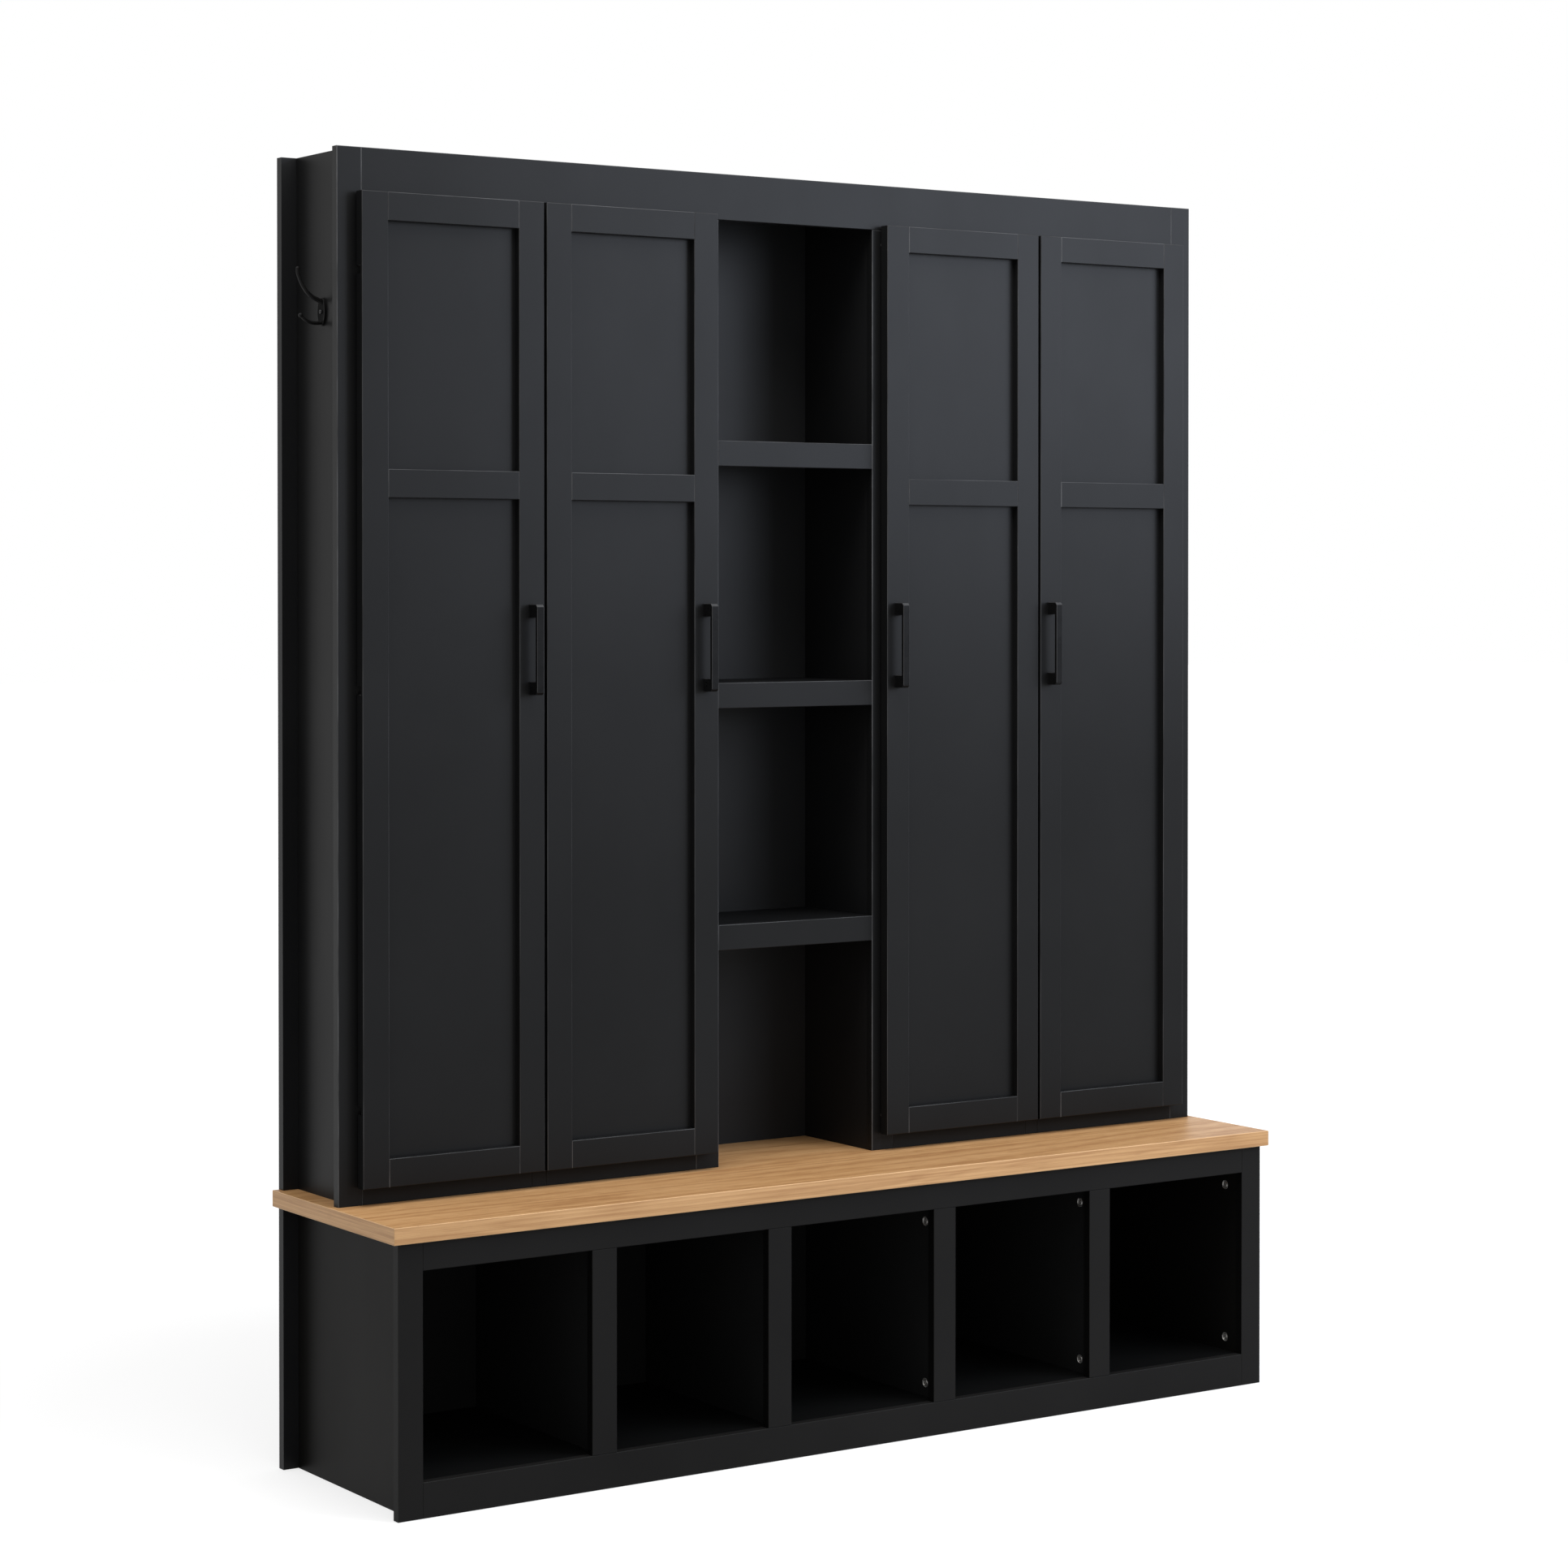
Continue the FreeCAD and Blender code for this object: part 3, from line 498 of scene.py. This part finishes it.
slotFinish = {
    "painted_board": satinBlack, "back_board": backBlack, "oak_top": oakFace,
    "black_metal": metals["handleBlack"], "zinc": metals["brightZinc"],
    "hinge_steel": metals["nickelSteel"], "pad": metals["softPad"],
}
slotOf = {p["node"]: p["material_slot"] for p in frame["record"]["subparts"]}
nodeFinish = {}
for mat, names in (
        (mattBlack, ("hutch_top", "locker_dividers", "locker_floors", "locker_shelves",
                     "locker_hook_rails")),
        (sideBlack, ("hutch_side_left", "hutch_side_right")),
        (backStileBlack, ("back_stiles",)),
        (partitionBlack, ("centre_partitions",)),
        (shelfBlack, ("centre_shelves",)),
        (stileBlack, ["door_%d_stiles" % number for number in doorNumbers]),
        (benchBlack, ("bench_stiles", "bench_top_rail", "bench_bottom_rail", "bench_mullions", "mid_stiles",
                      "hutch_bottom_rails")),
        (benchBoard, ("bench_side_left", "bench_side_right")),
        (benchInside, ("bench_partitions", "bench_back")),
        (benchFloor, ("bench_floor",))):
    nodeFinish.update(dict.fromkeys(names, mat))
for nodeName, node in nodes.items():
    paint(node, nodeFinish.get(nodeName, slotFinish[slotOf[nodeName]]))
print("boards finished")


# oak seat board with rounded edges and banded sides

seatBoard = {"round": 0.0013, "segments": 3}


def makeSeat():
    low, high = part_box("bench_top")
    deselectAll()
    bpy.ops.mesh.primitive_cube_add(size=1, location=(low + high) / 2)
    seat = bpy.context.object
    seat.name = seat.data.name = "oakSeat"
    seat.scale = high - low
    settle(seat)
    softEdges(seat, seatBoard["round"], seatBoard["segments"])
    paint(seat, oakFace, oakFront, oakEnd)
    for face in seat.data.polygons:
        n = face.normal
        sides = (abs(n.z), abs(n.y), abs(n.x))
        face.material_index = sides.index(max(sides))
    standFor(seat, "carcass", "oak_top", "bench_top")


makeSeat()
print("seat made")


# bar handles, one modelled and three copied

barHandle = {"bar": 0.006, "post": 0.020, "endBevel": 0.004, "round": 0.0009, "segments": 3}


def makeHandles():
    low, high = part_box("door_1_handle")
    middle = (low + high) / 2
    deselectAll()
    bpy.ops.mesh.primitive_cube_add(size=1, location=(middle.x, low.y + barHandle["bar"] / 2, middle.z))
    handle = bpy.context.object
    handle.name = handle.data.name = "barHandle1"
    handle.scale = (high.x - low.x, barHandle["bar"], high.z - low.z)
    settle(handle)
    # mark off the posts along the back, then draw them out to the door
    inner = (low.z + barHandle["post"], high.z - barHandle["post"])
    for z in inner:
        pick(handle, 'VERT', lambda v: True)
        bpy.ops.mesh.bisect(plane_co=(0, 0, z), plane_no=(0, 0, 1))
    pick(handle, 'FACE', lambda f: f.normal.y > squareShare and not inner[0] < f.center.z < inner[1])
    postReach = high.y - low.y - barHandle["bar"]
    bpy.ops.mesh.extrude_region_move(TRANSFORM_OT_translate={"value": (0, postReach, 0)})

    def frontEnd(edge):
        # the two crosswise edges at the ends of the bar's front
        spot = edgeMiddle(handle, edge)
        fromEnd = min(abs(spot.z - low.z), abs(spot.z - high.z))
        crosswise = abs(edgeLine(handle, edge).x) > squareShare
        return crosswise and abs(spot.y - low.y) < samePlace and fromEnd < samePlace

    # slope the two ends of the bar
    pick(handle, 'EDGE', frontEnd)
    bpy.ops.mesh.bevel(offset=barHandle["endBevel"], segments=1, affect='EDGES')
    softEdges(handle, barHandle["round"], barHandle["segments"])
    paint(handle, metals["handleBlack"])
    for number in doorNumbers[1:]:
        twin = copyOf(handle, "barHandle%d" % number)
        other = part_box("door_%d_handle" % number)[0]
        twin.location = other - low
        settle(twin)
        standFor(twin, "door_%d" % number, "black_metal", "door_%d_handle" % number)
    standFor(handle, "door_1", "black_metal", "door_1_handle")


makeHandles()
print("handles made")


# coat hooks, cast in one: oval plate, long upper prong, short lower prong

coatHook = {
    "wide": 0.024, "tall": 0.042, "thick": 0.0035, "rim": 0.0016, "dish": 0.0006,
    "round": 0.0006, "segments": 3, "plateSides": 56, "weld": 0.00002, "smoothAngle": 40,
    # reach from the wall, rise and radius along each prong, in millimetres
    "upper": [(1.0, 13.5, 4.4), (6.5, 16.6, 3.7), (19.0, 22.4, 3.2), (30.5, 34.0, 2.9), (38.2, 48.0, 2.6),
              (41.4, 58.0, 2.5), (41.3, 62.5, 2.5)],
    "lower": [(1.0, -16.0, 3.6), (6.5, -16.9, 3.0), (17.5, -17.0, 2.8), (27.5, -13.8, 2.7),
              (36.5, -6.6, 2.6)],
    "upperBall": ((41.2, 62.8), 2.65), "lowerBall": ((36.5, -6.6), 3.45),
    "rodSides": 5, "rodSteps": 8, "ballSides": 24, "ballRings": 14,
    "lockerX": (-0.62425, -0.31275, 0.31275, 0.62425), "dishMargin": 0.0001,
}


def bentRod(bends):
    deselectAll()
    bpy.ops.curve.primitive_bezier_curve_add()
    rod = bpy.context.object
    line = rod.data.splines[0]
    line.bezier_points.add(len(bends) - 2)
    for point, (reach, rise, radius) in zip(line.bezier_points, bends):
        point.co = (0, -reach / 1000, rise / 1000)
        point.radius = radius
        point.handle_left_type = 'AUTO'
        point.handle_right_type = 'AUTO'
    rod.data.bevel_depth = 0.001
    rod.data.bevel_resolution = coatHook["rodSides"]
    rod.data.resolution_u = coatHook["rodSteps"]
    rod.data.use_fill_caps = True
    makeActive(rod)
    bpy.ops.object.convert(target='MESH')
    return bpy.context.object


def hookBall(place, radius):
    deselectAll()
    reach, rise = place
    bpy.ops.mesh.primitive_uv_sphere_add(segments=coatHook["ballSides"], ring_count=coatHook["ballRings"],
                                         radius=radius / 1000, location=(0, -reach / 1000, rise / 1000))
    ball = bpy.context.object
    settle(ball)
    return ball


def makeHook():
    middle = (0, -coatHook["thick"] / 2, 0)
    deselectAll()
    bpy.ops.mesh.primitive_cylinder_add(vertices=coatHook["plateSides"], radius=0.5, depth=1,
                                        rotation=(radians(90), 0, 0), location=middle)
    plate = bpy.context.object
    settle(plate)
    plate.scale = (coatHook["wide"], 1, coatHook["tall"])
    settle(plate)
    pick(plate, 'VERT', lambda v: True)
    bpy.ops.transform.resize(value=(1, coatHook["thick"], 1), center_override=middle)
    # a raised rim round a dished face
    pick(plate, 'FACE', lambda f: f.normal.y < -squareShare)
    bpy.ops.mesh.inset(thickness=coatHook["rim"], depth=0)
    bpy.ops.mesh.inset(thickness=coatHook["dish"], depth=-coatHook["dish"])
    roundEdges(plate, coatHook["round"], coatHook["segments"])
    for prong in ("upper", "lower"):
        combine(plate, bentRod(coatHook[prong]), 'UNION')
        combine(plate, hookBall(*coatHook[prong + "Ball"]), 'UNION')
    cleanSmooth(plate, coatHook["weld"], coatHook["smoothAngle"])
    return plate


# round screw with a cross recess, driven through the plate
hookScrew = {"radius": 0.0033, "head": 0.0024, "seat": -0.0028, "dome": 0.0011, "shank": 0.00175,
             "length": 0.0135, "slot": 0.0009, "slotLong": 0.0040, "slotDeep": 0.0013,
             "sides": 40, "domeSteps": 4, "smoothAngle": 35}


def cutCross(obj, place, look, axis):
    # cuts two crossed bars into the face at this place
    deep = 2 * look["slotDeep"]
    for wide, tall in ((look["slot"], look["slotLong"]), (look["slotLong"], look["slot"])):
        deselectAll()
        bpy.ops.mesh.primitive_cube_add(size=1, location=place)
        bar = bpy.context.object
        bar.scale = (deep, wide, tall) if axis == 'X' else (wide, deep, tall)
        settle(bar)
        combine(obj, bar, 'DIFFERENCE')
    makeActive(obj)
    bpy.ops.object.shade_smooth_by_angle(angle=radians(look["smoothAngle"]))


def makeScrew():
    front = hookScrew["seat"] - hookScrew["head"]
    middle = (0, (front + hookScrew["seat"]) / 2, 0)
    deselectAll()
    bpy.ops.mesh.primitive_cylinder_add(vertices=hookScrew["sides"], radius=hookScrew["radius"],
                                        depth=hookScrew["head"], rotation=(radians(90), 0, 0),
                                        location=middle)
    screw = bpy.context.object
    settle(screw)
    pick(screw, 'FACE', lambda f: f.normal.y > squareShare)
    bpy.ops.mesh.inset(thickness=hookScrew["radius"] - hookScrew["shank"], depth=0)
    bpy.ops.mesh.extrude_region_move(TRANSFORM_OT_translate={"value": (0, hookScrew["length"], 0)})
    pick(screw, 'EDGE', lambda e: max(screw.data.vertices[i].co.y for i in e.vertices) < front + samePlace)
    bpy.ops.mesh.bevel(offset=hookScrew["dome"], segments=hookScrew["domeSteps"], affect='EDGES')
    cutCross(screw, (0, front, 0), hookScrew, 'Y')
    return screw


def placeHooks():
    hook, screw = makeHook(), makeScrew()
    paint(hook, metals["hookBlack"], metals["shadedDishBlack"])
    floor = coatHook["dish"] - coatHook["thick"]
    # the sunk face of the dish gets the darker dish finish: painted shade in the recess
    for face in hook.data.polygons:
        sunk = abs(face.center.y - floor) < coatHook["dishMargin"]
        face.material_index = int(face.normal.y < -squareShare and sunk)
    paint(screw, metals["screwBlack"])
    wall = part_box("hutch_side_left")[0].x
    low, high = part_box("side_hooks")
    level, middle = low.z + coatHook["tall"] / 2, (low.y + high.y) / 2
    sides = [((wall, middle, level), -90), ((-wall, middle, level), 90)]
    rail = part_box("locker_hook_rails")[0].y
    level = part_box("locker_hooks")[0].z + coatHook["tall"] / 2
    lockers = [((x, rail, level), 0) for x in coatHook["lockerX"]]
    screws = []
    for spots, name, node in ((sides, "sideHooks", "side_hooks"), (lockers, "lockerHooks", "locker_hooks")):
        hooks = []
        for spot, turn in spots:
            for piece, group in ((hook, hooks), (screw, screws)):
                twin = copyOf(piece, "twin")
                twin.location = spot
                twin.rotation_euler = (0, 0, radians(turn))
                settle(twin)
                group.append(twin)
        standFor(joined(hooks, name), "carcass", "black_metal", node)
    standFor(joined(screws, "hookScrews"), "carcass", "black_metal", "hook_screws")
    bpy.data.objects.remove(hook)
    bpy.data.objects.remove(screw)


placeHooks()
print("hooks made")


# cam locks: a rim, a sunk ring and a hub with a cross recess

camLock = {
    "radius": 0.00745, "deep": 0.012, "rim": 0.0011, "slope": 0.0005, "sunk": 0.0012, "ring": 0.0012,
    "hubShare": 0.7, "slot": 0.0020, "slotLong": 0.0078, "slotDeep": 0.0035,
    "round": 0.0002, "segments": 2, "sides": 48, "smoothAngle": 35,
    "wallX": (-0.77, -0.45975, -0.14825), "placeY": -0.1455, "placeZ": (0.074, 0.330),
    # turn of the cross on walls to the left and to the right
    "crossTurn": {1: 90, -1: -50},
}


def makeCam():
    # the face looks along -X from the origin
    deselectAll()
    bpy.ops.mesh.primitive_cylinder_add(vertices=camLock["sides"], radius=camLock["radius"],
                                        depth=camLock["deep"], rotation=(0, radians(90), 0),
                                        location=(camLock["deep"] / 2, 0, 0))
    cam = bpy.context.object
    settle(cam)
    pick(cam, 'FACE', lambda f: f.normal.x < -squareShare)
    bpy.ops.mesh.inset(thickness=camLock["rim"], depth=0)
    bpy.ops.mesh.inset(thickness=camLock["slope"], depth=-camLock["sunk"])
    bpy.ops.mesh.inset(thickness=camLock["ring"], depth=0)
    bpy.ops.mesh.inset(thickness=camLock["slope"], depth=camLock["sunk"] * camLock["hubShare"])
    softEdges(cam, camLock["round"], camLock["segments"])
    cutCross(cam, (0, 0, 0), camLock, 'X')
    return cam


def placeCams():
    cam = makeCam()
    paint(cam, metals["brightZinc"])
    cams = []
    for wall in camLock["wallX"]:
        for level in camLock["placeZ"]:
            for side in (1, -1):
                twin = copyOf(cam, "twin")
                twin.location = (side * wall, camLock["placeY"], level)
                twin.rotation_euler = (radians(camLock["crossTurn"][side]), 0, pi if side > 0 else 0)
                settle(twin)
                cams.append(twin)
    standFor(joined(cams, "camLocks"), "carcass", "zinc", "cam_locks")
    bpy.data.objects.remove(cam)


placeCams()
print("cam locks made")


# small turned and pressed pieces keep the CAD shape, with clean normals and smooth shading

smallParts = ["hinge_arms", "hinge_pins", "hinge_screws", "shelf_pins", "door_bumpers"]
for number in doorNumbers:
    smallParts += ["door_%d_hinge_cups" % number, "door_%d_handle_screws" % number]
smallSettings = {"weld": 0.00001, "smoothAngle": 32}
bodyOf = {node: body for body, names in frame["record"]["behaviour"]["bodies"].items() for node in names}


def smoothCopy(nodeName):
    twin = copyOf(nodes[nodeName], "smooth_" + nodeName)
    cleanSmooth(twin, smallSettings["weld"], smallSettings["smoothAngle"])
    paint(twin, slotFinish[slotOf[nodeName]])
    standFor(twin, bodyOf[nodeName], slotOf[nodeName], nodeName)


for nodeName in smallParts:
    smoothCopy(nodeName)
print("small parts smoothed")


# light, floor and backdrop

studio = {
    "ambient": 0.58, "floorColour": (0.45, 0.45, 0.45), "floorRough": 0.9, "floorSize": 80,
    "floorDrop": 0.0006,
    # how white the floor is seen near the piece and far from it, and between which distances it changes
    "floorNear": 0.66, "floorFar": 1.0, "nearEnd": 1.2, "farStart": 4.5,
    "keyPlace": (2.14, -2.38, 2.45), "keySize": (2.6, 2.2), "keyRadiance": 6.0,
    "keyTint": (0.83, 0.91, 1.07), "keyAim": (0, 0, 2.45),
    "topPlace": (-0.5, -0.85, 3.6), "topSize": (3.0, 1.0), "topRadiance": 8.5,
    "topTint": (1, 1, 1), "topAim": (0, -0.1, 0.4),
}


def whiteForSight(tree):
    # 1 for rays that show the background: straight, mirrored or through glass
    path = tree.nodes.new("ShaderNodeLightPath")
    seen = sums(tree, 'MAXIMUM', path.outputs["Is Camera Ray"], path.outputs["Is Glossy Ray"])
    return sums(tree, 'MAXIMUM', seen, path.outputs["Is Transmission Ray"])


def makeBackdrop():
    world = bpy.data.worlds.new("paleStudio")
    scene.world = world
    world.use_nodes = True
    tree = world.node_tree
    back = tree.nodes["Background"]
    back.inputs["Color"].default_value = (1, 1, 1, 1)
    strength = spread(tree, whiteForSight(tree), studio["ambient"], 1.0)
    tree.links.new(strength, back.inputs["Strength"])


def makeFloor():
    deselectAll()
    bpy.ops.mesh.primitive_plane_add(size=studio["floorSize"], location=(0, 0, -studio["floorDrop"]))
    floor = bpy.context.object
    floor.name = "paleFloor"
    settle(floor)
    mat, tree, shader, place = startMaterial("paleFloor")
    shader.inputs["Base Color"].default_value = (*studio["floorColour"], 1)
    shader.inputs["Roughness"].default_value = studio["floorRough"]
    shader.inputs["Specular IOR Level"].default_value = 0.0
    reach = tree.nodes.new("ShaderNodeVectorMath")
    reach.operation = 'LENGTH'
    tree.links.new(place, reach.inputs[0])
    glow = spread(tree, reach.outputs["Value"], studio["floorNear"], studio["floorFar"],
                  studio["nearEnd"], studio["farStart"])
    shader.inputs["Emission Color"].default_value = (1, 1, 1, 1)
    tree.links.new(sums(tree, 'MULTIPLY', glow, whiteForSight(tree)), shader.inputs["Emission Strength"])
    paint(floor, mat)


def makeLamp(kind):
    place, size = studio[kind + "Place"], studio[kind + "Size"]
    deselectAll()
    bpy.ops.object.light_add(type='AREA', location=place)
    lamp = bpy.context.object
    lamp.name = kind + "Box"
    lamp.data.shape = 'RECTANGLE'
    lamp.data.size, lamp.data.size_y = size
    lamp.data.energy = studio[kind + "Radiance"] * pi * size[0] * size[1]
    lamp.data.color = studio[kind + "Tint"]
    aim = Vector(studio[kind + "Aim"]) - Vector(place)
    lamp.rotation_euler = aim.to_track_quat('-Z', 'Y').to_euler()


def makeStudio():
    makeBackdrop()
    makeFloor()
    makeLamp("key")
    makeLamp("top")


makeStudio()
print("studio lit")


# camera at the photograph's angle

shot = {
    "place": (-3.21393, -4.77554, 1.34241), "azimuth": 34.038, "elevation": -0.7355,
    "lens": 83.159, "sensor": 36, "shiftX": -0.0116, "shiftY": -0.0996,
}


def makeCamera():
    deselectAll()
    bpy.ops.object.camera_add(location=shot["place"],
                              rotation=(radians(90 + shot["elevation"]), 0, -radians(shot["azimuth"])))
    camera = bpy.context.object
    camera.name = "photoCamera"
    camera.data.sensor_width = shot["sensor"]
    camera.data.lens = shot["lens"]
    camera.data.shift_x = shot["shiftX"]
    camera.data.shift_y = shot["shiftY"]
    scene.camera = camera


makeCamera()
print("camera set")

deselectAll()
